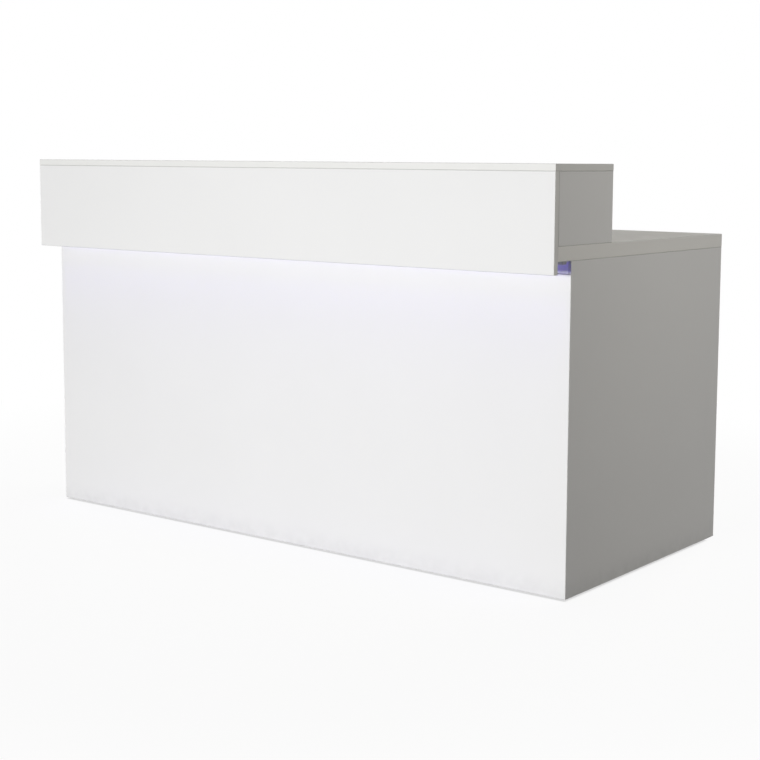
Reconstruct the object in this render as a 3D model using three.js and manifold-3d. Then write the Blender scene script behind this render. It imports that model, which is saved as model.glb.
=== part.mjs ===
// Bar counter with a raised hood, a light cove and open shelf bays at the rear.
// Millimetres. +X runs along the counter, +Y from the guests to the bartender, +Z up.
// The origin lies on the floor, under the middle of the overall box.

import * as THREE from "three";
import { mergeVertices } from "three/addons/utils/BufferGeometryUtils.js";
import Module from "manifold-3d";

const wasm = await Module();
wasm.setup();

// Overall sizes
const counterLength = 1900;
const counterHeight = 1100;
const worktopHeight = 900;
const bodyDepth = 840;
const hoodOverhang = 80;
const hoodDepth = 280;

// Boards
const boardThickness = 18;
const worktopThickness = 38;
const easedEdge = 1;

// Hood skirt, light cove and the rail behind it
const fasciaDrop = 32;
const coveHeight = 34;
const railHeight = 100;

// Plinth and glides
const glideHeight = 5;
const glideDiameter = 16;
const glideInset = 60;
const plinthHeight = 70;
const plinthSetback = 40;

// Shelf bays
const bayCount = 3;
const shelfThickness = 18;
const shelfSideGap = 1;
const shelfFrontGap = 12;
const shelfSetback = 20;

// Line-bored holes and turned shelf pins
const holePitch = 32;
const holeRows = 9;
const shelfRow = 4;
const firstHoleHeight = 256;
const holeInset = 64;
const pinDiameter = 5;
const pinShank = 6.5;
const pinHeadDiameter = 8;
const pinHeadLength = 9;
const seatGap = 0.3;

// Lamp profile, tape and diffuser
const profileWidth = 17;
const profileHeight = 8;
const profileWall = 1.2;
const profileLip = 1.4;
const profileEndInset = 8;
const tapeWidth = 10;
const tapeThickness = 1.2;
const diffuserThickness = 1.6;
const capThickness = 2;

// Lamp driver
const driverLength = 150;
const driverHeight = 42;
const driverDepth = 30;
const driverCorner = 4;
const earLength = 16;
const earThickness = 2.5;
const earHole = 4.5;
const inletWidth = 20;
const inletHeight = 10;
const inletDepth = 9;
const driverDrop = 30;
const leadHole = 10;

// Facets round a full circle
const fineFacets = 20;
const holeFacets = 10;

// Places that follow from the sizes
const overallDepth = bodyDepth + hoodOverhang;
const fasciaFace = -overallDepth / 2;
const fasciaBack = fasciaFace + boardThickness;
const panelFace = fasciaFace + hoodOverhang;
const carcassFront = panelFace + boardThickness;
const carcassRear = overallDepth / 2;
const carcassDepth = carcassRear - carcassFront;
const leftEnd = -counterLength / 2;
const innerLength = counterLength - 2 * boardThickness;
const innerLeft = leftEnd + boardThickness;
const worktopUnderside = worktopHeight - worktopThickness;
const deckTop = glideHeight + plinthHeight + boardThickness;
const bayWidth = (innerLength - (bayCount - 1) * boardThickness) / bayCount;
const bayPitch = bayWidth + boardThickness;
const shelfFront = carcassFront + boardThickness + shelfFrontGap;
const shelfRear = carcassRear - shelfSetback;
const holeColumns = [shelfFront + holeInset, shelfRear - holeInset];
const holeDiameter = pinDiameter + 2 * seatGap;
const pinHeight = deckTop + firstHoleHeight + shelfRow * holePitch;

// Ways to turn a drawn piece: its height standing up, its outline seen from the end, its axis along X
const alongX = new THREE.Vector3(1, 0, 0);
const alongY = new THREE.Vector3(0, 1, 0);
const alongZ = new THREE.Vector3(0, 0, 1);
const standing = new THREE.Matrix4().makeBasis(alongX, alongZ, alongY.clone().negate());
const endOn = new THREE.Matrix4().makeBasis(alongY, alongZ, alongX);
const lyingAlongX = new THREE.Matrix4().makeBasis(alongY, alongX, alongZ.clone().negate());

// Finishes
const whiteBoard = { color: 0xf1f1ef, roughness: 0.12, metalness: 0 };
const aluminium = { color: 0xb9bcc0, roughness: 0.35, metalness: 1 };
const opal = { color: 0xcfc9ff, roughness: 0.5, metalness: 0, emissive: 0x5a48ff };
const tapeWhite = { color: 0xe9e9e4, roughness: 0.6, metalness: 0 };
const greyPlastic = { color: 0x8e9092, roughness: 0.5, metalness: 0 };
const blackPlastic = { color: 0x202123, roughness: 0.55, metalness: 0 };
const nickel = { color: 0xc9c7c1, roughness: 0.28, metalness: 1 };

function place(group, name, geometry, finish, x, y, z) {
  const mesh = new THREE.Mesh(geometry, new THREE.MeshStandardMaterial(finish));
  mesh.name = name;
  mesh.position.set(x, y, z);
  group.add(mesh);
}

function groupAt(x, y, z) {
  const group = new THREE.Group();
  group.position.set(x, y, z);
  return group;
}

// A closed outline through corner points
function outline(corners) {
  return new THREE.Shape(corners.map(([across, up]) => new THREE.Vector2(across, up)));
}

function rectangle(width, height) {
  return outline([[0, 0], [width, 0], [width, height], [0, height]]);
}

// A rectangle about the origin with round corners
function roundedRectangle(width, height, radius) {
  const right = width / 2 - radius;
  const top = height / 2 - radius;
  const shape = new THREE.Shape();
  shape.absarc(right, top, radius, 0, Math.PI / 2);
  shape.absarc(-right, top, radius, Math.PI / 2, Math.PI);
  shape.absarc(-right, -top, radius, Math.PI, 1.5 * Math.PI);
  shape.absarc(right, -top, radius, 1.5 * Math.PI, 2 * Math.PI);
  return shape;
}

// A board cut to an outline, with both faces' edges eased
function easedBoard(shape, thickness) {
  const geometry = new THREE.ExtrudeGeometry(shape, {
    depth: thickness - 2 * easedEdge,
    bevelThickness: easedEdge,
    bevelSize: easedEdge,
    bevelOffset: -easedEdge,
    bevelSegments: 1,
    curveSegments: fineFacets / 4,
  });
  return geometry.translate(0, 0, easedEdge);
}

// A straight length of a drawn section
function extrusion(shape, length) {
  const options = { depth: length, bevelEnabled: false, curveSegments: fineFacets / 4 };
  return new THREE.ExtrudeGeometry(shape, options);
}

// A turned piece, from its half section of radius and height
function turned(section, facets) {
  return new THREE.LatheGeometry(section.map(([radius, up]) => new THREE.Vector2(radius, up)), facets);
}

function toSolid(geometry) {
  const bare = geometry.clone();
  bare.deleteAttribute("normal");
  bare.deleteAttribute("uv");
  const merged = mergeVertices(bare);
  return new wasm.Manifold(new wasm.Mesh({
    numProp: 3,
    vertProperties: Float32Array.from(merged.attributes.position.array),
    triVerts: Uint32Array.from(merged.index.array),
  }));
}

function fromSolid(solid) {
  const mesh = solid.getMesh();
  const geometry = new THREE.BufferGeometry();
  geometry.setAttribute("position", new THREE.BufferAttribute(mesh.vertProperties, mesh.numProp));
  geometry.setIndex(new THREE.BufferAttribute(mesh.triVerts, 1));
  geometry.computeVertexNormals();
  return geometry;
}

function cutAll(geometry, cutters) {
  return fromSolid(cutters.reduce((solid, cutter) => solid.subtract(toSolid(cutter)), toSolid(geometry)));
}

// Rows of shelf-pin holes that start at one height along X and run for a depth
function lineBores(start, depth) {
  const bores = [];
  for (const column of holeColumns) {
    for (let row = 0; row < holeRows; row += 1) {
      const bore = new THREE.CylinderGeometry(holeDiameter / 2, holeDiameter / 2, depth, holeFacets);
      bore.applyMatrix4(lyingAlongX);
      const height = deckTop + firstHoleHeight + row * holePitch;
      bores.push(bore.translate(start + depth / 2, column - carcassFront, height));
    }
  }
  return bores;
}

// A wedge on one side of the mitre at an end of the counter: it cuts either the front panel or the side panel
function mitreWedge(end, inward, cutsPanel) {
  const outer = end - inward * boardThickness;
  const inner = end + 2 * inward * boardThickness;
  const corner = cutsPanel ? [outer, boardThickness] : [inner, -2 * boardThickness];
  return extrusion(outline([[outer, -2 * boardThickness], [inner, boardThickness], corner]), counterHeight);
}

// The raised hood: top, fascia, ends and the dividers that carry the top
function makeHood() {
  const hood = groupAt(leftEnd, fasciaFace, worktopHeight);
  const underTop = counterHeight - worktopHeight - boardThickness;
  const skirt = worktopThickness + fasciaDrop;
  const top = easedBoard(rectangle(counterLength, hoodDepth), boardThickness);
  place(hood, "hood_top", top, whiteBoard, 0, 0, underTop);

  const fascia = easedBoard(rectangle(counterLength, underTop + skirt), boardThickness);
  fascia.applyMatrix4(standing);
  place(hood, "hood_fascia", fascia, whiteBoard, 0, boardThickness, -skirt);

  const addUpright = (name, x) => {
    const upright = easedBoard(rectangle(hoodDepth - boardThickness, underTop), boardThickness);
    place(hood, name, upright.applyMatrix4(endOn), whiteBoard, x, boardThickness, 0);
  };
  addUpright("hood_end_left", 0);
  addUpright("hood_end_right", counterLength - boardThickness);
  for (let divider = 1; divider < bayCount; divider += 1) {
    addUpright(`hood_divider_${divider}`, divider * bayPitch);
  }
  return hood;
}

function makeWorktop() {
  const worktop = groupAt(leftEnd, fasciaBack, worktopUnderside);
  const board = easedBoard(rectangle(counterLength, carcassRear - fasciaBack), worktopThickness);
  place(worktop, "worktop", board, whiteBoard, 0, 0, 0);
  return worktop;
}

// Front panel mitred to the bored side panels, cove rail and bored dividers
function makeCarcass() {
  const carcass = groupAt(leftEnd, carcassFront, 0);
  const panelHeight = worktopUnderside - coveHeight - glideHeight;
  const front = easedBoard(rectangle(counterLength, panelHeight), boardThickness).applyMatrix4(standing);
  const panelWedges = [mitreWedge(0, 1, true), mitreWedge(counterLength, -1, true)];
  place(carcass, "front_panel", cutAll(front.translate(0, 0, glideHeight), panelWedges), whiteBoard, 0, 0, 0);

  const boreDepth = pinShank + 2 * seatGap;
  const addSide = (name, x, boreStart, wedge) => {
    const side = easedBoard(rectangle(bodyDepth, worktopUnderside - glideHeight), boardThickness);
    const raised = side.applyMatrix4(endOn).translate(x, -boardThickness, glideHeight);
    place(carcass, name, cutAll(raised, [wedge, ...lineBores(boreStart, boreDepth)]), whiteBoard, 0, 0, 0);
  };
  const rightInner = counterLength - boardThickness;
  addSide("side_left", 0, boardThickness - boreDepth + seatGap, mitreWedge(0, 1, false));
  addSide("side_right", rightInner, rightInner - seatGap, mitreWedge(counterLength, -1, false));

  const clearHeight = worktopUnderside - deckTop;
  const notchUp = clearHeight - railHeight;
  const dividerOutline = outline([
    [0, 0], [carcassDepth, 0], [carcassDepth, clearHeight],
    [boardThickness, clearHeight], [boardThickness, notchUp], [0, notchUp],
  ]);
  for (let divider = 1; divider < bayCount; divider += 1) {
    const x = divider * bayPitch;
    const board = easedBoard(dividerOutline, boardThickness).applyMatrix4(endOn);
    const bores = lineBores(x - seatGap, boardThickness + 2 * seatGap);
    const bored = cutAll(board.translate(x, 0, deckTop), bores);
    place(carcass, `divider_${divider}`, bored, whiteBoard, 0, 0, 0);
  }

  const rail = easedBoard(rectangle(innerLength, railHeight), boardThickness).applyMatrix4(standing);
  const bore = new THREE.CylinderGeometry(leadHole / 2, leadHole / 2, 3 * boardThickness, fineFacets);
  bore.translate(innerLength - bayWidth / 2, 0, railHeight - driverDrop / 2);
  const bored = cutAll(rail, [bore]);
  const railFoot = worktopUnderside - railHeight;
  place(carcass, "cove_rail", bored, whiteBoard, boardThickness, boardThickness, railFoot);
  return carcass;
}

// Bottom deck on its ring of plinth rails
function makeBase() {
  const base = groupAt(innerLeft, carcassFront, glideHeight);
  const deck = easedBoard(rectangle(innerLength, carcassDepth), boardThickness);
  place(base, "bottom_deck", deck, whiteBoard, 0, 0, plinthHeight);

  const rearRailBack = carcassDepth - plinthSetback;
  const addRail = (name, back) => {
    const rail = easedBoard(rectangle(innerLength, plinthHeight), boardThickness);
    place(base, name, rail.applyMatrix4(standing), whiteBoard, 0, back, 0);
  };
  addRail("plinth_front", boardThickness);
  addRail("plinth_rear", rearRailBack);

  const crossLength = rearRailBack - 2 * boardThickness;
  for (let divider = 1; divider < bayCount; divider += 1) {
    const cross = easedBoard(rectangle(crossLength, plinthHeight), boardThickness).applyMatrix4(endOn);
    const x = divider * bayPitch - boardThickness;
    place(base, `plinth_cross_${divider}`, cross, whiteBoard, x, boardThickness, 0);
  }
  return base;
}

// Low glides under the plinth rails, at their ends and below the dividers
function makeGlides() {
  const glides = groupAt(leftEnd, carcassFront, 0);
  const radius = glideDiameter / 2;
  const section = [
    [0, 0], [radius - easedEdge, 0], [radius, easedEdge], [radius, glideHeight], [0, glideHeight],
  ];
  const railMiddle = boardThickness / 2;
  const rows = { front: railMiddle, rear: carcassDepth - plinthSetback - railMiddle };
  for (let line = 0; line <= bayCount; line += 1) {
    const inset = { 0: glideInset, [bayCount]: -glideInset }[line] ?? 0;
    const x = line * bayPitch + railMiddle + inset;
    for (const [row, y] of Object.entries(rows)) {
      const glide = turned(section, fineFacets).applyMatrix4(standing);
      place(glides, `glide_${line + 1}_${row}`, glide, greyPlastic, x, y, 0);
    }
  }
  return glides;
}

// A turned pin: shank in the bore, shouldered head under the shelf
function shelfPin() {
  const shank = pinDiameter / 2;
  const head = pinHeadDiameter / 2;
  const headEnd = seatGap + pinHeadLength;
  return turned([
    [0, -pinShank], [shank, -pinShank], [shank, seatGap],
    [head, seatGap], [head, headEnd - easedEdge], [head - easedEdge, headEnd], [0, headEnd],
  ], holeFacets).applyMatrix4(lyingAlongX);
}

// One adjustable shelf in each bay, on four pins
function makeShelves() {
  const shelves = new THREE.Group();
  for (let bay = 0; bay < bayCount; bay += 1) {
    const bayLeft = innerLeft + bay * bayPitch;
    const underside = pinHeight + pinHeadDiameter / 2 + seatGap;
    const shelf = easedBoard(rectangle(bayWidth - 2 * shelfSideGap, shelfRear - shelfFront), shelfThickness);
    place(shelves, `shelf_${bay + 1}`, shelf, whiteBoard, bayLeft + shelfSideGap, shelfFront, underside);

    for (const [row, y] of [["front", holeColumns[0]], ["rear", holeColumns[1]]]) {
      const stem = `shelf_pin_${bay + 1}_${row}`;
      place(shelves, `${stem}_left`, shelfPin(), nickel, bayLeft, y, pinHeight);
      const mirrored = shelfPin().rotateZ(Math.PI);
      place(shelves, `${stem}_right`, mirrored, nickel, bayLeft + bayWidth, y, pinHeight);
    }
  }
  return shelves;
}

// The lamp in the middle of the cove, under the worktop: lipped profile, tape, diffuser and end caps
function makeLamp() {
  const coveMiddle = (fasciaBack + carcassFront) / 2;
  const lamp = groupAt(leftEnd + profileEndInset, coveMiddle - profileWidth / 2, worktopUnderside);
  const length = counterLength - 2 * profileEndInset;
  const inner = profileWidth - profileWall;
  const mouth = inner - profileLip;
  const lipTop = profileWall - profileHeight;
  const profile = extrusion(outline([
    [0, 0], [0, -profileHeight], [profileWidth - mouth, -profileHeight], [profileWidth - mouth, lipTop],
    [profileWall, lipTop], [profileWall, -profileWall], [inner, -profileWall], [inner, lipTop],
    [mouth, lipTop], [mouth, -profileHeight], [profileWidth, -profileHeight], [profileWidth, 0],
  ]), length).applyMatrix4(endOn);
  place(lamp, "lamp_profile", profile, aluminium, 0, 0, 0);

  const tape = extrusion(rectangle(tapeWidth, tapeThickness), length).applyMatrix4(endOn);
  const tapeLeft = (profileWidth - tapeWidth) / 2;
  place(lamp, "lamp_tape", tape, tapeWhite, 0, tapeLeft, -profileWall - tapeThickness);

  const diffuserWidth = inner - profileWall - 2 * seatGap;
  const diffuser = extrusion(rectangle(diffuserWidth, diffuserThickness), length).applyMatrix4(endOn);
  place(lamp, "lamp_diffuser", diffuser, opal, 0, profileWall + seatGap, lipTop);

  const capOutline = roundedRectangle(profileWidth, profileHeight, profileWall);
  const addCap = (name, x) => {
    const cap = extrusion(capOutline, capThickness).applyMatrix4(endOn);
    place(lamp, name, cap, greyPlastic, x, profileWidth / 2, -profileHeight / 2);
  };
  addCap("lamp_cap_left", -capThickness);
  addCap("lamp_cap_right", length);
  return lamp;
}

// The lamp's driver behind the rail: eared base, housing and mains inlet
function makeDriver() {
  const railBack = carcassFront + boardThickness;
  const driverUp = worktopUnderside - driverDrop - driverHeight / 2;
  const bayMiddle = innerLeft + (bayCount - 1) * bayPitch + bayWidth / 2;
  const driver = groupAt(bayMiddle, railBack, driverUp);
  const earOutline = roundedRectangle(driverLength + 2 * earLength, driverHeight / 2, driverCorner);
  const toEarHole = (driverLength + earLength) / 2;
  for (const side of [-1, 1]) {
    const hole = new THREE.Path();
    hole.absarc(side * toEarHole, 0, earHole / 2, 0, 2 * Math.PI);
    earOutline.holes.push(hole);
  }
  const ears = extrusion(earOutline, earThickness).translate(0, 0, driverDepth - earThickness);
  const housing = easedBoard(roundedRectangle(driverLength, driverHeight, driverCorner), driverDepth);
  const inletOutline = roundedRectangle(inletWidth, inletHeight, inletHeight / 2 - seatGap);
  const inlet = extrusion(inletOutline, 2 * inletDepth);
  inlet.applyMatrix4(endOn).translate(driverLength / 2 - inletDepth, 0, driverDepth / 2);
  const body = toSolid(ears).add(toSolid(housing)).subtract(toSolid(inlet));
  const geometry = fromSolid(body).applyMatrix4(standing);
  place(driver, "lamp_driver", geometry, blackPlastic, 0, driverDepth, 0);
  return driver;
}

const counter = new THREE.Group();
counter.add(makeHood(), makeWorktop(), makeCarcass(), makeBase(), makeGlides());
counter.add(makeShelves(), makeLamp(), makeDriver());

export default counter;
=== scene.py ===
"""Finishes, small fittings, light and camera for a white gloss bar counter with a lit cove."""

import math

import bpy
import numpy as np
from bpy.props import FloatProperty, FloatVectorProperty, PointerProperty
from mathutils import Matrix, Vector


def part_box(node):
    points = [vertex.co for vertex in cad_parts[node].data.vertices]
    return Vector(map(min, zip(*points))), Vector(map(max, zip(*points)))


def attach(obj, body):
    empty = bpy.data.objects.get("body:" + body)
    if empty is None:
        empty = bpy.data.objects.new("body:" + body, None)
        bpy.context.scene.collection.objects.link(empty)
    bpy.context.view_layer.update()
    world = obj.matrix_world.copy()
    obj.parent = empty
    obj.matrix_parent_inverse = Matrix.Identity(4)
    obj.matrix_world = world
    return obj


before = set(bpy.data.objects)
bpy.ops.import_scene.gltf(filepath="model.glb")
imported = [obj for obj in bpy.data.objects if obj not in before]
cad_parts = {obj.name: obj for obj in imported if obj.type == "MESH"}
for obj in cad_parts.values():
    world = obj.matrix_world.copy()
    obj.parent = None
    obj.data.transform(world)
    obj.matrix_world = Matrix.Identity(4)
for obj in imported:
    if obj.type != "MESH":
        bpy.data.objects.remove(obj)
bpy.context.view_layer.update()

bl_info = {
    "name": "Gloss Bar Counter",
    "version": (1, 0, 0),
    "blender": (4, 5, 0),
    "location": "View3D > Sidebar > Counter",
    "description": "Finishes, fittings, light and camera for a white gloss bar counter",
    "category": "Object",
}

MM = 0.001
COUNTER = "counter"
WHITE, BLACK = (1, 1, 1, 1), (0, 0, 0, 1)

# The photograph's frame, in pixels: its side, and where the lens axis meets it
IMAGE_SIDE = 760
LENS_AXIS = (420, 330)
# The camera's sensor, in millimetres, and how far it sees, in metres
SENSOR_WIDTH = 36
SIGHT = 200

# Each outer board, with the sign of the direction that its gloss face looks along
OUTER_BOARDS = {
    "hood_top": 1, "hood_fascia": -1, "hood_end_left": -1, "hood_end_right": 1, "front_panel": -1,
    "side_left": -1, "side_right": 1,
}
INNER_BOARDS = (
    "hood_divider_1", "hood_divider_2", "divider_1", "divider_2", "cove_rail", "bottom_deck",
    "plinth_front", "plinth_rear", "plinth_cross_1", "plinth_cross_2", "shelf_1", "shelf_2", "shelf_3",
)
# The uprights from left to right, with the sign of the direction that their capped face looks along
BAY_UPRIGHTS = {"side_left": 1, "divider_1": 1, "divider_2": -1, "side_right": -1}
HOOD_UPRIGHTS = {"hood_end_left": 1, "hood_divider_1": 1, "hood_divider_2": -1, "hood_end_right": -1}

# Each softbox: where it stands, the point that it looks at and its two sides, in metres, and its spread
SOFTBOXES = {
    "key": ((0.4, -9.0, 1.0), (0.4, -0.4, 0.3), (1.6, 1.8), math.radians(125)),
    "side": ((2.45, 0.1, 1.6), (0.95, 0.1, 0.7), (0.8, 0.8), math.pi),
    "left": ((-2.45, 0.1, 1.6), (-0.95, 0.1, 0.7), (0.8, 0.8), math.pi),
    "top": ((0, 0.2, 4.6), (0, 0.2, 0), (5.0, 5.0), math.pi),
    "fill": ((0.2, 5.4, 1.8), (0.2, 0.2, 0.6), (1.4, 1.6), math.pi),
}

# How far from 1 the part of a normal along a board's thin axis may lie on its broad faces
FACE_SLACK = 0.1
# The fourth powers of a normal's parts add up to 1 on a square face and to less than this on an eased corner
EASED_BELOW = 0.8
# Edges of the small fittings that turn by more than this stay sharp
SHARP_ANGLE = math.radians(35)


def linear(hex_colour):
    """An sRGB hex colour as linear red, green and blue, by the standard sRGB curve."""
    srgb = np.array([int(hex_colour[start:start + 2], 16) for start in (1, 3, 5)]) / 255
    return tuple(float(x) for x in np.where(srgb <= 0.04045, srgb / 12.92, ((srgb + 0.055) / 1.055) ** 2.4))


def colour(name, description, hex_colour):
    """A colour property with its default from a hex value."""
    return FloatVectorProperty(
        name=name, description=description, subtype="COLOR", size=3, min=0, max=1, default=linear(hex_colour)
    )


def length(name, description, millimetres):
    """A length property with its default in millimetres."""
    return FloatProperty(
        name=name, description=description, subtype="DISTANCE", unit="LENGTH", min=0, precision=5,
        default=millimetres * MM,
    )


def angle(name, description, degrees):
    """An angle property with its default in degrees."""
    return FloatProperty(
        name=name, description=description, subtype="ANGLE", unit="ROTATION", default=math.radians(degrees)
    )


def number(name, description, value):
    """A plain factor."""
    return FloatProperty(name=name, description=description, default=value)


class BoardFinish(bpy.types.PropertyGroup):
    """Colours and surface waves of the boards"""

    lacquer: colour("Gloss face", "Sprayed gloss white of the outer boards", "#ECECEC")
    edging: colour("Edging", "White plastic edging of the boards", "#EAEAE8")
    melamine: colour("Inner face", "Melamine white of the inner boards", "#E8E8E5")
    # A little below white: partly the laminate's own tone, partly painted shade from the hood over it
    laminate: colour("Worktop face", "Matt laminate of the worktop", "#DAD8D3")
    worktop_edging: colour("Worktop edging", "Brighter white edging of the thick worktop", "#F4F3F0")
    core: colour("Core", "Raw chipboard in the walls of bored holes", "#A98C66")
    core_chip: length("Core chip", "Length of the chips in the raw chipboard", 2)
    core_shade: number("Core shade", "Share of the core's colour between its chips", 0.6)
    gloss: number("Gloss roughness", "Roughness of the sprayed faces", 0.07)
    satin: number("Inner roughness", "Roughness of the melamine faces", 0.36)
    matt: number("Worktop roughness", "Roughness of the laminate", 0.62)
    edge_satin: number("Edging roughness", "Roughness of the edging", 0.24)
    # Eased corners: a glue line and dust, with painted shade for the groove where boards meet
    glue_line_and_groove_shade: number("Glue line and groove shade", "Share of the edging's colour that is left on the eased corners", 0.77)
    mirror: number("Mirror level", "How much a plain facing mirrors", 0.5)
    matt_mirror: number("Worktop mirror level", "How much the laminate mirrors", 0.25)
    board_wave: length("Board wave", "Length of the slow waves in a faced board", 170)
    board_wave_height: length("Board wave height", "Height of the slow waves", 0.015)
    peel: length("Orange peel", "Length of the fine waves that a sprayed face keeps", 7)
    peel_height: length("Orange peel height", "Height of the fine waves", 0.001)
    pearl: length("Pearl", "Grain of the melamine's pressed face, drawn coarse enough to show", 2.5)
    pearl_height: length("Pearl height", "Height of the pressed grain", 0.01)
    cloud: length("Cloud", "Length of the slow clouds of tone on a board", 400)
    cloud_depth: number("Cloud depth", "Share of the tone that a cloud takes away", 0.015)
    wipe: length("Wipe", "Length of the patches that a cloth leaves on a face", 90)
    wipe_shine: number("Wipe shine", "Share of the roughness where a cloth has polished", 0.85)
    wipe_film: number("Wipe film", "Share of the roughness where a cloth has left a film", 1.2)
    scuff: length("Scuff", "Length of the marks that shoes and mops leave near the floor", 30)
    scuff_rise: length("Scuff rise", "How far up from the floor the marks reach", 70)
    scuff_share: number("Scuff share", "How strongly the marks show at the floor", 0.5)
    scuff_shade: number("Scuff shade", "Share of the face's colour that is left in a mark", 0.8)


class LampFinish(bpy.types.PropertyGroup):
    """Light and fittings of the cove lamp"""

    glow: colour("Glow", "Blue-violet light of the diffuser's face", "#7458FF")
    strength: number("Strength", "Brightness of the diffuser's face", 0.7)
    ripple: number("Ripple", "How far the brightness swings from chip to gap, as a share", 0.15)
    deep: colour("Deep glow", "Light that stays in the cove, deepened by its bounces", "#5A34FF")
    deep_power: number("Deep power", "Light that the fascia's back throws onto the rail, in watts", 0.065)
    deep_spread: angle("Deep spread", "Full angle of the light that stays in the cove", 60)
    wash: colour("Wash", "Light that falls down the front panel", "#7856FF")
    wash_power: number("Wash power", "Light that falls down the front panel, in watts", 0.24)
    wash_spread: angle("Wash spread", "Full angle of the light that leaves the cove", 33)
    strip_width: length("Strip width", "Width of a strip of light in the cove", 10)
    strip_drop: length("Strip drop", "Distance from the diffuser's face to the strip below it", 1.5)
    strip_gap: length("Strip gap", "Distance from the fascia's back to the strip behind it", 6)
    opal: colour("Opal", "Diffuser plastic", "#DAD5F2")
    opal_satin: number("Opal roughness", "Roughness of the diffuser", 0.45)
    metal: colour("Profile", "Anodised aluminium of the profile", "#C4C6C9")
    tape: colour("Tape", "White face of the tape", "#EDEDE6")
    cap: colour("Profile caps", "Grey plastic of the profile's caps", "#A2A3A7")
    chip_pitch: length("Chip pitch", "Distance between the light chips", 16.67)
    chip_side: length("Chip side", "Side of a light chip", 5)
    chip_rise: length("Chip rise", "Height of a light chip", 1.6)


class FittingSizes(bpy.types.PropertyGroup):
    """Small fittings that hold the boards"""

    cap_diameter: length("Cap diameter", "Cover cap over a cam fitting", 18)
    cap_rise: length("Cap rise", "How far a cap stands off its board", 0.9)
    cap_rim: length("Cap rim", "Radius of a cap's softened rim", 0.63)
    cam_inset: length("Cam inset", "Distance from a cam to the joint that it pulls", 34)
    cam_margin: length("Cam margin", "Distance from the end cams to a board's ends", 96)
    hood_margin: length("Hood cam margin", "The same on the short hood boards", 48)
    head_diameter: length("Screw head", "Pan head of a fixing screw", 8)
    head_rise: length("Head rise", "Height of the pan head", 2.6)
    ear_inset: length("Ear inset", "Distance from the end of a driver's ear to its screw", 8)
    ear_rise: length("Ear thickness", "Thickness of a driver's ear", 2.5)
    contact_diameter: length("Contact diameter", "Round contact in the driver's inlet", 2.4)
    contact_reach: length("Contact reach", "Length of a contact", 7)
    contact_pitch: length("Contact pitch", "Distance between the two contacts", 8.6)
    inlet_depth: length("Inlet depth", "Depth of the driver's inlet", 9)
    screw_margin: length("Screw margin", "Distance from a rail screw to the bay's side", 60)
    sink: length("Sink", "How deep a fitting's foot sits in its board", 0.4)
    nickel: colour("Nickel", "Plating of pins and screws", "#CFCDC7")
    cap_white: colour("Cap", "White plastic of the caps", "#E9E9E6")
    grey: colour("Grey plastic", "Glides under the boards", "#C2C3C4")
    black: colour("Black plastic", "Driver housing", "#232426")


class StageSettings(bpy.types.PropertyGroup):
    """Camera, floor and lights"""

    eye: FloatVectorProperty(
        name="Eye", description="Where the camera stands", subtype="TRANSLATION", unit="LENGTH",
        default=(2.88179, -3.59122, 1.10614),
    )
    aim: FloatVectorProperty(
        name="Aim", description="Camera's tilt up from straight down, sideways lean and turn",
        subtype="EULER", unit="ROTATION",
        default=tuple(math.radians(degrees) for degrees in (83.6092, -0.4041, 36.7571)),
    )
    lens: FloatProperty(name="Lens", description="Focal length", unit="CAMERA", default=71.875)
    shift: FloatVectorProperty(
        name="Shift", description="Lens shift that puts the lens axis where the photograph has it", size=2,
        default=(0.5 - LENS_AXIS[0] / IMAGE_SIDE, LENS_AXIS[1] / IMAGE_SIDE - 0.5),
    )
    ambient: colour("Ambient", "Colour of the room's soft light", "#FFFDF8")
    ambient_strength: number("Ambient strength", "Level of the room's soft light", 0.06)
    key_power: number("Key power", "Softbox in front of the counter, in watts", 298)
    side_power: number("Side power", "Softbox off the counter's right end, in watts", 7.1)
    left_power: number("Left power", "Softbox off the counter's left end, in watts", 13)
    side_tint: colour("Side tint", "Warm white of the softbox off the right end", "#FFFBF2")
    top_power: number("Top power", "Softbox above the counter, in watts", 38)
    fill_power: number("Fill power", "Softbox behind the counter, in watts", 176)
    floor: colour("Floor", "Pale floor", "#ACABA8")
    floor_white: number("Floor white", "Share of plain white that the camera sees on the near floor", 0.92)
    floor_under: number("Floor under", "Share of plain white that the camera sees under the counter", 0.62)
    floor_near: length("Floor near", "How far out from the middle the floor's shading starts to fade", 1500)
    floor_far: length("Floor far", "How far out it has faded to plain white", 2800)
    floor_side: length("Floor side", "Side of the floor", 60000)


def add(tree, kind, inputs=None, **settings):
    """Adds a node: settings are its own fields, inputs are socket values or the outputs that feed them."""
    made = tree.nodes.new(kind)
    for name, value in settings.items():
        setattr(made, name, value)
    for name, value in (inputs or {}).items():
        socket = made.inputs[name]
        if isinstance(value, bpy.types.NodeSocket):
            tree.links.new(value, socket)
        else:
            socket.default_value = value
    return made


def blank(name):
    """A new material and its empty node tree."""
    made = bpy.data.materials.new(name)
    made.use_nodes = True
    made.node_tree.nodes.clear()
    return made, made.node_tree


def rgba(values):
    """A colour with full alpha."""
    return (*values, 1)


def darker(values, share):
    """A colour times a share, with full alpha."""
    return rgba([share * part for part in values])


def pattern(tree, place, feature, detail=2):
    """A noise with cells about as long as the feature, in metres, its usual range spread over 0 to 1."""
    raw = add(tree, "ShaderNodeTexNoise", {"Vector": place, "Scale": 1 / feature, "Detail": detail})
    usual = {"Value": raw.outputs[0], "From Min": 0.25, "From Max": 0.75}
    return add(tree, "ShaderNodeMapRange", usual).outputs[0]


def layered(tree, kind, base, *layers):
    """A colour or value with others laid over it in turn, each by its share from 0 to 1."""
    for share, over in layers:
        mixed = add(tree, "ShaderNodeMix", {"Factor": share, "A": base, "B": over}, data_type=kind)
        base = mixed.outputs["Result"]
    return base


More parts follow.
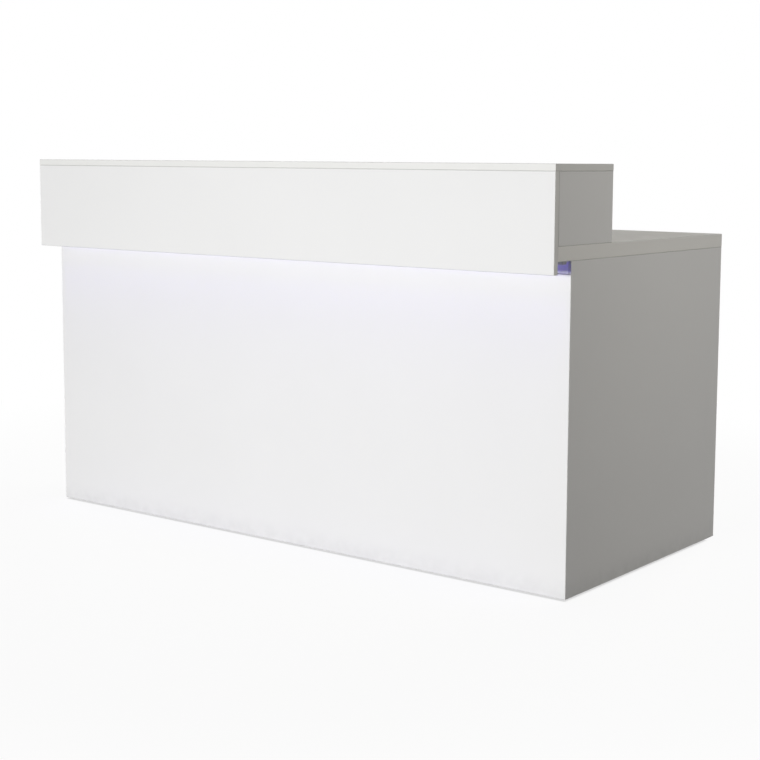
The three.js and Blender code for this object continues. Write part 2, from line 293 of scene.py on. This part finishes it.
def seen_rays(tree):
    """1 for what the camera sees, straight, mirrored or through glass, and 0 for light that only bounces."""
    rays = add(tree, "ShaderNodeLightPath").outputs
    mirrored = {0: rays["Is Camera Ray"], 1: rays["Is Glossy Ray"]}
    straight = add(tree, "ShaderNodeMath", mirrored, operation="MAXIMUM")
    through = {0: straight.outputs[0], 1: rays["Is Transmission Ray"]}
    return add(tree, "ShaderNodeMath", through, operation="MAXIMUM").outputs[0]


def board_material(name, axis, front, back, edging, waves, finish, outward=1, bored=None):
    """A faced and edged board whose thin direction is the axis. The broad face that looks along the outward
    sign carries the front facing and the other one the back facing, each a colour, a roughness and a mirror
    level. The rest carries plastic edging. Waves are (length, height) pairs, from slow to fine. Bored gives
    a middle and a half reach in Y and in Z: inside them, what faces sideways is the raw wall of a hole."""
    (face, face_rough, face_mirror), (rear, rear_rough, rear_mirror) = front, back
    made, tree = blank(name)
    place = add(tree, "ShaderNodeTexCoord").outputs["Object"]
    spot = add(tree, "ShaderNodeSeparateXYZ", {"Vector": place}).outputs
    normal = add(tree, "ShaderNodeNewGeometry").outputs["True Normal"]
    across = add(tree, "ShaderNodeSeparateXYZ", {"Vector": normal}).outputs[axis]
    inward = {0: across, 1: -outward, 2: FACE_SLACK}
    is_back = add(tree, "ShaderNodeMath", inward, operation="COMPARE").outputs[0]
    either = add(tree, "ShaderNodeMath", {0: across}, operation="ABSOLUTE").outputs[0]
    is_edge = add(tree, "ShaderNodeMath", {0: either, 1: 1 - FACE_SLACK}, operation="LESS_THAN").outputs[0]
    squares = add(tree, "ShaderNodeVectorMath", {0: normal, 1: normal}, operation="MULTIPLY").outputs[0]
    fourths = add(tree, "ShaderNodeVectorMath", {0: squares, 1: squares}, operation="DOT_PRODUCT")
    slanted = {0: fourths.outputs["Value"], 1: EASED_BELOW}
    is_eased = add(tree, "ShaderNodeMath", slanted, operation="LESS_THAN").outputs[0]

    # The eased corners hold a glue line and dust, with painted shade for the groove where boards meet,
    # which draws the joints between boards
    tone = layered(
        tree, "RGBA", rgba(face), (is_back, rgba(rear)), (is_edge, rgba(edging)),
        (is_eased, darker(edging, finish.glue_line_and_groove_shade)),
    )
    # Slow clouds of tone, so that no large face is one flat value
    clouded = layered(tree, "RGBA", tone, (finish.cloud_depth, BLACK))
    tone = layered(tree, "RGBA", tone, (pattern(tree, place, finish.cloud), clouded))
    if bored:
        hole = is_edge
        for letter, (middle, reach) in zip("YZ", bored):
            within = {0: spot[letter], 1: middle, 2: reach}
            near = add(tree, "ShaderNodeMath", within, operation="COMPARE").outputs[0]
            hole = add(tree, "ShaderNodeMath", {0: hole, 1: near}, operation="MULTIPLY").outputs[0]
        chips = pattern(tree, place, finish.core_chip)
        raw = layered(tree, "RGBA", darker(finish.core, finish.core_shade), (chips, rgba(finish.core)))
        tone = layered(tree, "RGBA", tone, (hole, raw))

    # Shoes and mops darken the lowest few centimetres in patches
    fading = {
        "Value": spot["Z"], "From Min": 0, "From Max": finish.scuff_rise,
        "To Min": finish.scuff_share, "To Max": 0,
    }
    near_floor = add(tree, "ShaderNodeMapRange", fading, interpolation_type="SMOOTHSTEP").outputs[0]
    marks = {0: near_floor, 1: pattern(tree, place, finish.scuff, 6)}
    scuffs = add(tree, "ShaderNodeMath", marks, operation="MULTIPLY").outputs[0]
    tone = layered(tree, "RGBA", tone, (scuffs, darker(face, finish.scuff_shade)))

    # Where a cloth has wiped, a face is a little shinier or duller
    wipes = pattern(tree, place, finish.wipe, 4)
    rough = layered(
        tree, "FLOAT", finish.wipe_shine * face_rough, (wipes, finish.wipe_film * face_rough),
        (is_back, rear_rough), (is_edge, finish.edge_satin),
    )
    mirror = face_mirror
    if not face_mirror == rear_mirror == finish.mirror:
        mirror = layered(tree, "FLOAT", face_mirror, (is_back, rear_mirror), (is_edge, finish.mirror))

    shape = {}
    for feature, rise in waves:
        height = {"Height": pattern(tree, place, feature), "Distance": rise, "Strength": 1.0}
        shape = {"Normal": add(tree, "ShaderNodeBump", {**height, **shape}).outputs[0]}
    surface = add(tree, "ShaderNodeBsdfPrincipled", {
        "Base Color": tone, "Roughness": rough, "Specular IOR Level": mirror, **shape,
    })
    add(tree, "ShaderNodeOutputMaterial", {"Surface": surface.outputs[0]})
    return made


def plastic_material(name, base, roughness, grain, rise):
    """Moulded plastic: one colour with a spark-eroded grain from the mould, darker and duller in its pits."""
    pit_shade, pit_rough, peak_rough = 0.9, 1.15, 0.85
    made, tree = blank(name)
    place = add(tree, "ShaderNodeTexCoord").outputs["Object"]
    peaks = pattern(tree, place, grain, 3)
    bump = add(tree, "ShaderNodeBump", {"Height": peaks, "Distance": rise, "Strength": 1.0})
    surface = add(tree, "ShaderNodeBsdfPrincipled", {
        "Base Color": layered(tree, "RGBA", darker(base, pit_shade), (peaks, rgba(base))),
        "Roughness": layered(tree, "FLOAT", pit_rough * roughness, (peaks, peak_rough * roughness)),
        "Normal": bump.outputs[0],
    })
    add(tree, "ShaderNodeOutputMaterial", {"Surface": surface.outputs[0]})
    return made


def metal_material(name, base, roughness, line):
    """Metal with fine lines along X, as drawing or turning leaves them: a noise that is stretched along X and
    darker and shinier in its grooves."""
    stretch, flatness = 50, 80
    groove_shade, groove_rough, ridge_rough = 0.92, 0.8, 1.25
    made, tree = blank(name)
    place = add(tree, "ShaderNodeTexCoord").outputs["Object"]
    stretched = add(tree, "ShaderNodeMapping", {"Vector": place, "Scale": (1 / stretch, 1, 1)})
    ridges = pattern(tree, stretched.outputs[0], line, 3)
    bump = add(tree, "ShaderNodeBump", {"Height": ridges, "Distance": line / flatness, "Strength": 1.0})
    surface = add(tree, "ShaderNodeBsdfPrincipled", {
        "Base Color": layered(tree, "RGBA", darker(base, groove_shade), (ridges, rgba(base))),
        "Roughness": layered(tree, "FLOAT", groove_rough * roughness, (ridges, ridge_rough * roughness)),
        "Metallic": 1.0, "Normal": bump.outputs[0],
    })
    add(tree, "ShaderNodeOutputMaterial", {"Surface": surface.outputs[0]})
    return made


def opal_material(lamp):
    """Opal acrylic, lit from behind: a little brighter under each light chip, as the diffuser never quite
    evens them out. The brightness is a cosine along X with the chips' pitch."""
    made, tree = blank("opal acrylic, lit")
    place = add(tree, "ShaderNodeTexCoord").outputs["Object"]
    along = add(tree, "ShaderNodeSeparateXYZ", {"Vector": place}).outputs["X"]
    turn = add(tree, "ShaderNodeMath", {0: along, 1: 2 * math.pi / lamp.chip_pitch}, operation="MULTIPLY")
    wave = add(tree, "ShaderNodeMath", {0: turn.outputs[0]}, operation="COSINE")
    swing = {
        "Value": wave.outputs[0], "From Min": -1,
        "To Min": (1 - lamp.ripple) * lamp.strength, "To Max": (1 + lamp.ripple) * lamp.strength,
    }
    surface = add(tree, "ShaderNodeBsdfPrincipled", {
        "Base Color": rgba(lamp.opal), "Roughness": lamp.opal_satin, "Emission Color": rgba(lamp.glow),
        "Emission Strength": add(tree, "ShaderNodeMapRange", swing).outputs[0],
    })
    add(tree, "ShaderNodeOutputMaterial", {"Surface": surface.outputs[0]})
    return made


def dress(names, made):
    """Gives CAD nodes a material."""
    for name in names:
        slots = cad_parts[name].data.materials
        slots.clear()
        slots.append(made)


def nodes_starting(*stems):
    """The CAD nodes whose names start with one of the stems, in order."""
    return sorted(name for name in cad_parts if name.startswith(stems))


def thin_axis(name):
    """X, Y or Z: the direction in which a board is thinnest."""
    low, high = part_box(name)
    return "XYZ"[int(np.argmin(np.subtract(high, low)))]


def bored_zone(axis):
    """The middle and half reach, in Y and in Z, of the field that the pin holes lie in. Only the boards that
    are thin along X are bored."""
    if axis != "X":
        return None
    margin = 20 * MM
    front, rear = (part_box(f"shelf_pin_1_{row}_left") for row in ("front", "rear"))
    deck_top, under_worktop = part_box("bottom_deck")[1].z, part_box("worktop")[0].z
    spans = (front[0].y - margin, rear[1].y + margin), (deck_top + margin, under_worktop - margin)
    return [((low + high) / 2, (high - low) / 2) for low, high in spans]


def lathe(profile, sides):
    """A turned form: each profile point of radius and height is swept once round Z, in equal angles.
    The first and last points lie on the axis, so the form is closed."""
    radius, height = np.asarray(profile, float).T
    steps = np.linspace(0, 2 * np.pi, sides, endpoint=False)
    reach, turn = np.meshgrid(radius[1:-1], steps, indexing="ij")
    level = np.broadcast_to(height[1:-1, None], reach.shape)
    rings = np.stack([reach * np.cos(turn), reach * np.sin(turn), level], -1).reshape(-1, 3)
    points = np.vstack([[0, 0, height[0]], rings, [0, 0, height[-1]]])
    return points, *lathe_faces(len(radius) - 2, sides)


def lathe_faces(rows, sides):
    """Quads between neighbouring rings, and a fan of triangles from each end ring to its axis point."""
    ring = 1 + np.arange(rows * sides).reshape(rows, sides)
    following = np.roll(ring, -1, axis=1)
    quads = np.stack([ring[:-1], following[:-1], following[1:], ring[1:]], -1).reshape(-1, 4)
    first = np.stack([np.zeros(sides, int), following[0], ring[0]], -1)
    last = np.stack([ring[-1], following[-1], np.full(sides, rows * sides + 1)], -1)
    return quads, np.vstack([first, last])


def pan_head(sizes):
    """A pan head with a cross recess. Above a straight wall its height falls off with the radius to the power
    of 2.5, and the points inside a cross of two bars are lowered by one depth. Wall and depth are shares of
    the head's rise, bar and reach are shares of its radius."""
    rings, sides, wall, fall = 14, 48, 0.45, 2.5
    bar, reach, depth = 0.13, 0.55, 0.5
    half, rise = sizes.head_diameter / 2, sizes.head_rise
    share = np.linspace(1, 0, rings)
    dome = rise * (wall + (1 - wall) * (1 - share ** fall))
    foot = [(0, -sizes.sink), (half, -sizes.sink), (half, wall * rise)]
    points, quads, triangles = lathe([*foot, *zip(half * share[1:], dome[1:])], sides)
    across = np.abs(points[:, :2]) / half
    in_cross = (across.min(axis=1) < bar) & (across.max(axis=1) < reach)
    on_dome = points[:, 2] > wall * rise
    points[:, 2] -= np.where(in_cross & on_dome, depth * rise, 0)
    return points, quads, triangles


def cover_cap(sizes):
    """A flat round cap on a short foot in its board: a turned profile whose rim is a quarter circle."""
    sides, steps = 40, 5
    half, rise, rim = sizes.cap_diameter / 2, sizes.cap_rise, sizes.cap_rim
    turn = np.linspace(0, np.pi / 2, steps)
    arc = zip(half - rim + rim * np.cos(turn), rise - rim + rim * np.sin(turn))
    return lathe([(0, -sizes.sink), (half, -sizes.sink), *arc, (0, rise)], sides)


def light_chip(lamp):
    """A square chip with a shallow lens: a turned form of four sides, whose lens is sunk inside a rim."""
    sides, half, rise = 4, lamp.chip_side / math.sqrt(2), lamp.chip_rise
    rim = 0.78 * half
    lens, lens_level = 0.9 * rim, 0.8 * rise
    edge = [(0, 0), (half, 0), (half, rise), (rim, rise)]
    return lathe([*edge, (lens, lens_level), (0, lens_level)], sides)


def inlet_contact(sizes):
    """A round contact: a turned rod with a coned tip."""
    sides, half, reach = 20, sizes.contact_diameter / 2, sizes.contact_reach
    tip = 0.6 * half
    return lathe([(0, 0), (half, 0), (half, reach - half), (tip, reach), (0, reach)], sides)


def frames_on(normal, places):
    """A frame at each place, with its Z along the normal."""
    made = np.tile(np.eye(4), (len(places), 1, 1))
    made[:, :3, :3] = np.array(Vector(normal).to_track_quat("Z", "Y").to_matrix())
    made[:, :3, 3] = places
    return made


def repeat(form, frames):
    """A form at many frames: every point times every frame, in one product."""
    points, quads, triangles = form
    spread_points = np.einsum("kij,mj->kmi", frames[:, :3, :3], points) + frames[:, None, :3, 3]
    step = np.arange(len(frames))[:, None, None] * len(points)
    return spread_points.reshape(-1, 3), (quads + step).reshape(-1, 4), (triangles + step).reshape(-1, 3)


def piece(name, form, made, body=COUNTER):
    """Makes a mesh object from points and faces, with its place in its mesh, and lets it ride on a body."""
    points, quads, triangles = form
    mesh = bpy.data.meshes.new(name)
    mesh.from_pydata(points.tolist(), [], quads.tolist() + triangles.tolist())
    mesh.shade_smooth()
    mesh.set_sharp_from_angle(angle=SHARP_ANGLE)
    mesh.materials.append(made)
    thing = bpy.data.objects.new(name, mesh)
    bpy.context.scene.collection.objects.link(thing)
    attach(thing, body)


def softbox(name, place, aim, sides, power, tint, spread):
    """A rectangular area lamp that looks at a point. Neither the camera nor a gloss face shows it, so that it
    leaves no hard white patch on the boards. A grid narrows its spread."""
    lamp = bpy.data.lights.new(name, "AREA")
    lamp.color = tint
    lamp.spread = spread
    lamp.shape = "RECTANGLE"
    lamp.size, lamp.size_y = sides
    lamp.energy = power
    thing = bpy.data.objects.new(name, lamp)
    thing.location = place
    thing.rotation_mode = "QUATERNION"
    thing.rotation_quaternion = (Vector(aim) - Vector(place)).to_track_quat("-Z", "Y")
    thing.visible_camera = thing.visible_glossy = False
    bpy.context.scene.collection.objects.link(thing)


class COUNTER_OT_gloss_boards(bpy.types.Operator):
    """Gives the outer boards their sprayed gloss and white edging"""

    bl_idname = "counter.gloss_boards"
    bl_label = "Gloss Boards"

    def execute(self, context):
        finish = context.scene.counter_boards
        front = (finish.lacquer, finish.gloss, finish.mirror)
        back = (finish.melamine, finish.satin, finish.mirror)
        waves = [(finish.board_wave, finish.board_wave_height), (finish.peel, finish.peel_height)]
        for name, outward in OUTER_BOARDS.items():
            axis = thin_axis(name)
            label = f"gloss white lacquer {'+' if outward > 0 else '-'}{axis}"
            # Sprayed high-gloss lacquer on fibreboard: white, mirror-like, with slow waves and a fine
            # orange peel; its back is the plain satin facing that the board came with
            made = bpy.data.materials.get(label) or board_material(
                label, axis, front, back, finish.edging, waves, finish, outward, bored_zone(axis),
            )
            dress([name], made)
        return {"FINISHED"}


class COUNTER_OT_worktop(bpy.types.Operator):
    """Gives the worktop its matt laminate and its brighter edging"""

    bl_idname = "counter.worktop"
    bl_label = "Worktop"

    def execute(self, context):
        finish = context.scene.counter_boards
        face = (finish.laminate, finish.matt, finish.matt_mirror)
        back = (finish.melamine, finish.satin, finish.mirror)
        stipple = [(finish.board_wave, finish.board_wave_height), (finish.pearl, finish.pearl_height)]
        # Matt high-pressure laminate: a fine stipple and almost no mirror; its off-white is kept a little
        # dark, partly as painted shade from the hood that stands over it
        made = board_material("matt white laminate", "Z", face, back, finish.worktop_edging, stipple, finish)
        dress(["worktop"], made)
        return {"FINISHED"}


class COUNTER_OT_inner_boards(bpy.types.Operator):
    """Gives the carcass boards and shelves their satin melamine face"""

    bl_idname = "counter.inner_boards"
    bl_label = "Inner Boards"

    def execute(self, context):
        finish = context.scene.counter_boards
        waves = [(finish.board_wave, finish.board_wave_height), (finish.pearl, finish.pearl_height)]
        face = (finish.melamine, finish.satin, finish.mirror)
        # Melamine-faced chipboard: satin white, with the pearl grain of the press plate
        satin = {
            axis: board_material(
                f"white melamine {axis}", axis, face, face, finish.edging, waves, finish,
                bored=bored_zone(axis),
            )
            for axis in "XYZ"
        }
        for name in INNER_BOARDS:
            dress([name], satin[thin_axis(name)])
        return {"FINISHED"}


class COUNTER_OT_cove_lamp(bpy.types.Operator):
    """Finishes the lamp in the cove, sets the light chips on its tape and lights the cove"""

    bl_idname = "counter.cove_lamp"
    bl_label = "Cove Lamp"

    def execute(self, context):
        lamp = context.scene.counter_lamp
        # Drawn aluminium with a satin anodised skin: fine lines along its length
        drawn = metal_material("anodised aluminium", lamp.metal, roughness=0.34, line=0.6 * MM)
        dress(["lamp_profile"], drawn)
        dress(["lamp_diffuser"], opal_material(lamp))
        # White solder mask on a flexible tape: an even satin white
        tape = plastic_material("white tape", lamp.tape, roughness=0.5, grain=1.5 * MM, rise=0.005 * MM)
        dress(["lamp_tape"], tape)
        # Moulded polycarbonate: plain grey, with the fine grain of its mould
        grey = plastic_material(
            "grey moulded plastic", lamp.cap, roughness=0.5, grain=1.2 * MM, rise=0.01 * MM
        )
        dress(nodes_starting("lamp_cap"), grey)

        low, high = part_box("lamp_tape")
        count = int((high.x - low.x) / lamp.chip_pitch)
        along = (np.arange(count) - (count - 1) / 2) * lamp.chip_pitch
        middle = np.full(count, (low.y + high.y) / 2)
        places = np.stack([along, middle, np.full(count, low.z)], -1)
        piece("lamp_chips", repeat(light_chip(lamp), frames_on((0, 0, -1), places)), tape)
        self.light(lamp)
        return {"FINISHED"}

    def light(self, lamp):
        """Two strips of light as long as the diffuser: one from its face down the front panel, one from the
        fascia's back across to the rail."""
        low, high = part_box("lamp_diffuser")
        strip = (high.x - low.x, lamp.strip_width)
        under, middle = low.z - lamp.strip_drop, (low.y + high.y) / 2
        wash = (lamp.wash_power, lamp.wash, lamp.wash_spread)
        softbox("cove_wash", (0, middle, under), (0, middle, 0), strip, *wash)
        back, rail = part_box("hood_fascia")[1].y + lamp.strip_gap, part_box("cove_rail")[0].y
        level = (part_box("front_panel")[1].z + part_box("worktop")[0].z) / 2
        deep = (lamp.deep_power, lamp.deep, lamp.deep_spread)
        softbox("cove_deep", (0, back, level), (0, rail, level), strip, *deep)


class COUNTER_OT_shelf_pins(bpy.types.Operator):
    """Finishes the turned pins that the shelves rest on"""

    bl_idname = "counter.shelf_pins"
    bl_label = "Shelf Pins"

    def execute(self, context):
        sizes = context.scene.counter_fittings
        # Nickel plating over turned or cold-headed steel: a pale warm metal with faint turning lines
        nickel = metal_material("nickel plate", sizes.nickel, roughness=0.28, line=0.5 * MM)
        dress(nodes_starting("shelf_pin"), nickel)
        return {"FINISHED"}


class COUNTER_OT_driver(bpy.types.Operator):
    """Finishes the lamp's driver, with its fixing screws and the contacts in its inlet"""

    bl_idname = "counter.driver"
    bl_label = "Driver"

    def execute(self, context):
        sizes = context.scene.counter_fittings
        nickel = bpy.data.materials["nickel plate"]
        # Moulded polycarbonate: near black, with a fine mould grain
        black = plastic_material(
            "black moulded plastic", sizes.black, roughness=0.5, grain=1.2 * MM, rise=0.015 * MM
        )
        dress(["lamp_driver"], black)

        low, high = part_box("lamp_driver")
        middle, depth = (low.z + high.z) / 2, (low.y + high.y) / 2
        ear_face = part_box("cove_rail")[1].y + sizes.ear_rise
        ears = [(x, ear_face, middle) for x in (low.x + sizes.ear_inset, high.x - sizes.ear_inset)]
        screws = repeat(pan_head(sizes), frames_on((0, 1, 0), np.array(ears)))
        piece("driver_screws", screws, nickel)

        inlet_floor = high.x - 2 * sizes.ear_inset - sizes.inlet_depth
        ends = [(inlet_floor, depth, middle + side * sizes.contact_pitch / 2) for side in (-1, 1)]
        contacts = repeat(inlet_contact(sizes), frames_on((1, 0, 0), np.array(ends)))
        piece("inlet_contacts", contacts, nickel)
        return {"FINISHED"}


class COUNTER_OT_glides(bpy.types.Operator):
    """Finishes the glides that the boards stand on"""

    bl_idname = "counter.glides"
    bl_label = "Glides"

    def execute(self, context):
        sizes = context.scene.counter_fittings
        # Moulded nylon: pale grey and a little waxy
        nylon = plastic_material("grey nylon", sizes.grey, roughness=0.42, grain=1.5 * MM, rise=0.01 * MM)
        dress(nodes_starting("glide"), nylon)
        return {"FINISHED"}


class COUNTER_OT_cover_caps(bpy.types.Operator):
    """Sets the cover caps over the cam fittings that pull the boards together"""

    bl_idname = "counter.cover_caps"
    bl_label = "Cover Caps"

    def execute(self, context):
        sizes = context.scene.counter_fittings
        # Moulded white caps: a touch duller than the board
        white = plastic_material(
            "white moulded plastic", sizes.cap_white, roughness=0.4, grain=1.5 * MM, rise=0.005 * MM
        )
        deck_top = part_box("bottom_deck")[1].z
        under_worktop, worktop_top = (corner.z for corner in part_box("worktop"))
        under_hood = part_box("hood_top")[0].z
        bay, hood = (deck_top, under_worktop), (worktop_top, under_hood)
        self.cap("bay_caps", BAY_UPRIGHTS, bay, sizes.cam_margin, sizes, white, count=3)
        self.cap("hood_caps", HOOD_UPRIGHTS, hood, sizes.hood_margin, sizes, white, count=2)
        return {"FINISHED"}

    def cap(self, name, boards, levels, margin, sizes, made, count):
        """A row of caps on one face of each board, a cam's inset from its lower and from its upper joint."""
        frames = []
        for board, side in boards.items():
            low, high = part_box(board)
            depth = np.linspace(low.y + margin, high.y - margin, count)
            rows = (levels[0] + sizes.cam_inset, levels[1] - sizes.cam_inset)
            along, up = (grid.ravel() for grid in np.meshgrid(depth, rows))
            face = np.full(along.size, high.x if side > 0 else low.x)
            frames.append(frames_on((side, 0, 0), np.stack([face, along, up], -1)))
        piece(name, repeat(cover_cap(sizes), np.concatenate(frames)), made)


class COUNTER_OT_rail_screws(bpy.types.Operator):
    """Sets the screws that hold the front panel to the rail behind it"""

    bl_idname = "counter.rail_screws"
    bl_label = "Rail Screws"

    def execute(self, context):
        sizes = context.scene.counter_fittings
        uprights = [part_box(name) for name in BAY_UPRIGHTS]
        lefts = [high.x + sizes.screw_margin for low, high in uprights[:-1]]
        rights = [low.x - sizes.screw_margin for low, high in uprights[1:]]
        rail_low, rail_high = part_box("cove_rail")
        level = (rail_low.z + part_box("front_panel")[1].z) / 2
        places = np.array([(x, rail_high.y, level) for x in lefts + rights])
        nickel = bpy.data.materials["nickel plate"]
        piece("rail_screws", repeat(pan_head(sizes), frames_on((0, 1, 0), places)), nickel)
        return {"FINISHED"}


class COUNTER_OT_stage(bpy.types.Operator):
    """Makes the camera, the white surroundings, the pale floor and the softboxes"""

    bl_idname = "counter.stage"
    bl_label = "Stage"

    def execute(self, context):
        stage = context.scene.counter_stage
        self.camera(context.scene, stage)
        self.surroundings(context.scene, stage)
        self.floor(context.scene, stage)
        tints = {"side": stage.side_tint}
        for name, (place, aim, sides, spread) in SOFTBOXES.items():
            power, tint = getattr(stage, f"{name}_power"), tints.get(name, WHITE[:3])
            softbox(f"{name}_softbox", place, aim, sides, power, tint, spread)
        context.scene.view_settings.view_transform = "Standard"
        return {"FINISHED"}

    def camera(self, scene, stage):
        """The camera, fitted to the board edges in the photograph."""
        data = bpy.data.cameras.new("camera")
        data.sensor_width = SENSOR_WIDTH
        data.lens = stage.lens
        data.shift_x, data.shift_y = stage.shift
        data.clip_end = SIGHT
        camera = bpy.data.objects.new("camera", data)
        camera.location = stage.eye
        camera.rotation_euler = stage.aim
        scene.collection.objects.link(camera)
        scene.camera = camera

    def surroundings(self, scene, stage):
        """A world that is plain white to the eye and a weak soft light to the boards."""
        world = bpy.data.worlds.new("white surroundings")
        world.use_nodes = True
        tree = world.node_tree
        tree.nodes.clear()
        ambient = {"Color": rgba(stage.ambient), "Strength": stage.ambient_strength}
        soft = add(tree, "ShaderNodeBackground", ambient)
        white = add(tree, "ShaderNodeBackground", {"Color": WHITE, "Strength": 1.0})
        either = {0: seen_rays(tree), 1: soft.outputs[0], 2: white.outputs[0]}
        both = add(tree, "ShaderNodeMixShader", either)
        add(tree, "ShaderNodeOutputWorld", {"Surface": both.outputs[0]})
        scene.world = world

    def floor(self, scene, stage):
        """A pale floor that fades to plain white and keeps a share of the counter's shadow."""
        made, tree = blank("pale floor")
        seen = seen_rays(tree)
        tone = layered(tree, "RGBA", rgba(stage.floor), (seen, WHITE))
        matt = add(tree, "ShaderNodeBsdfDiffuse", {"Color": tone})
        white = add(tree, "ShaderNodeEmission", {"Color": WHITE, "Strength": 1.0})
        place = add(tree, "ShaderNodeTexCoord").outputs["Object"]
        away = add(tree, "ShaderNodeVectorMath", {0: place}, operation="LENGTH").outputs["Value"]
        fade = {
            "Value": away, "From Min": stage.floor_near, "From Max": stage.floor_far,
            "To Min": stage.floor_white, "To Max": 1,
        }
        faded = add(tree, "ShaderNodeMapRange", fade, interpolation_type="SMOOTHSTEP").outputs[0]
        # Under the counter the floor keeps more of its shade, so that a thin dark line grounds the boards
        white_share = layered(tree, "FLOAT", faded, (self.footprint(tree, place), stage.floor_under))
        share = add(tree, "ShaderNodeMath", {0: seen, 1: white_share}, operation="MULTIPLY")
        either = {0: share.outputs[0], 1: matt.outputs[0], 2: white.outputs[0]}
        surface = add(tree, "ShaderNodeMixShader", either)
        add(tree, "ShaderNodeOutputMaterial", {"Surface": surface.outputs[0]})
        half = stage.floor_side / 2
        corners = [(-half, -half, 0), (half, -half, 0), (half, half, 0), (-half, half, 0)]
        mesh = bpy.data.meshes.new("floor")
        mesh.from_pydata(corners, [], [(0, 1, 2, 3)])
        mesh.materials.append(made)
        thing = bpy.data.objects.new("floor", mesh)
        scene.collection.objects.link(thing)

    def footprint(self, tree, place):
        """1 between the counter's two ends, its front face and its rear plinth, and 0 outside them."""
        spot = add(tree, "ShaderNodeSeparateXYZ", {"Vector": place}).outputs
        (left, front, _), (right, _, _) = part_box("front_panel")
        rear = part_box("plinth_rear")[1].y
        inside = 1.0
        for letter, low, high in (("X", left, right), ("Y", front, rear)):
            span = {0: spot[letter], 1: (low + high) / 2, 2: (high - low) / 2}
            within = add(tree, "ShaderNodeMath", span, operation="COMPARE").outputs[0]
            inside = add(tree, "ShaderNodeMath", {0: within, 1: inside}, operation="MULTIPLY").outputs[0]
        return inside


OPERATORS = (
    COUNTER_OT_gloss_boards, COUNTER_OT_worktop, COUNTER_OT_inner_boards, COUNTER_OT_cove_lamp,
    COUNTER_OT_shelf_pins, COUNTER_OT_driver, COUNTER_OT_glides, COUNTER_OT_cover_caps,
    COUNTER_OT_rail_screws, COUNTER_OT_stage,
)
SETTINGS = {
    "counter_boards": BoardFinish,
    "counter_lamp": LampFinish,
    "counter_fittings": FittingSizes,
    "counter_stage": StageSettings,
}


class COUNTER_PT_panel(bpy.types.Panel):
    """Lists the counter's steps and settings"""

    bl_idname = "COUNTER_PT_panel"
    bl_label = "Bar Counter"
    bl_space_type = "VIEW_3D"
    bl_region_type = "UI"
    bl_category = "Counter"

    def draw(self, context):
        for operator in OPERATORS:
            self.layout.operator(operator.bl_idname)
        for name, group in SETTINGS.items():
            box = self.layout.box()
            for field in group.__annotations__:
                box.prop(getattr(context.scene, name), field)


CLASSES = (*SETTINGS.values(), *OPERATORS, COUNTER_PT_panel)


def register():
    for made in CLASSES:
        bpy.utils.register_class(made)
    for name, group in SETTINGS.items():
        setattr(bpy.types.Scene, name, PointerProperty(type=group))


def unregister():
    for name in SETTINGS:
        delattr(bpy.types.Scene, name)
    for made in reversed(CLASSES):
        bpy.utils.unregister_class(made)


def main():
    """Runs every step in order."""
    register()
    for operator in OPERATORS:
        space, step = operator.bl_idname.split(".")
        getattr(getattr(bpy.ops, space), step)()


if __name__ == "__main__":
    main()
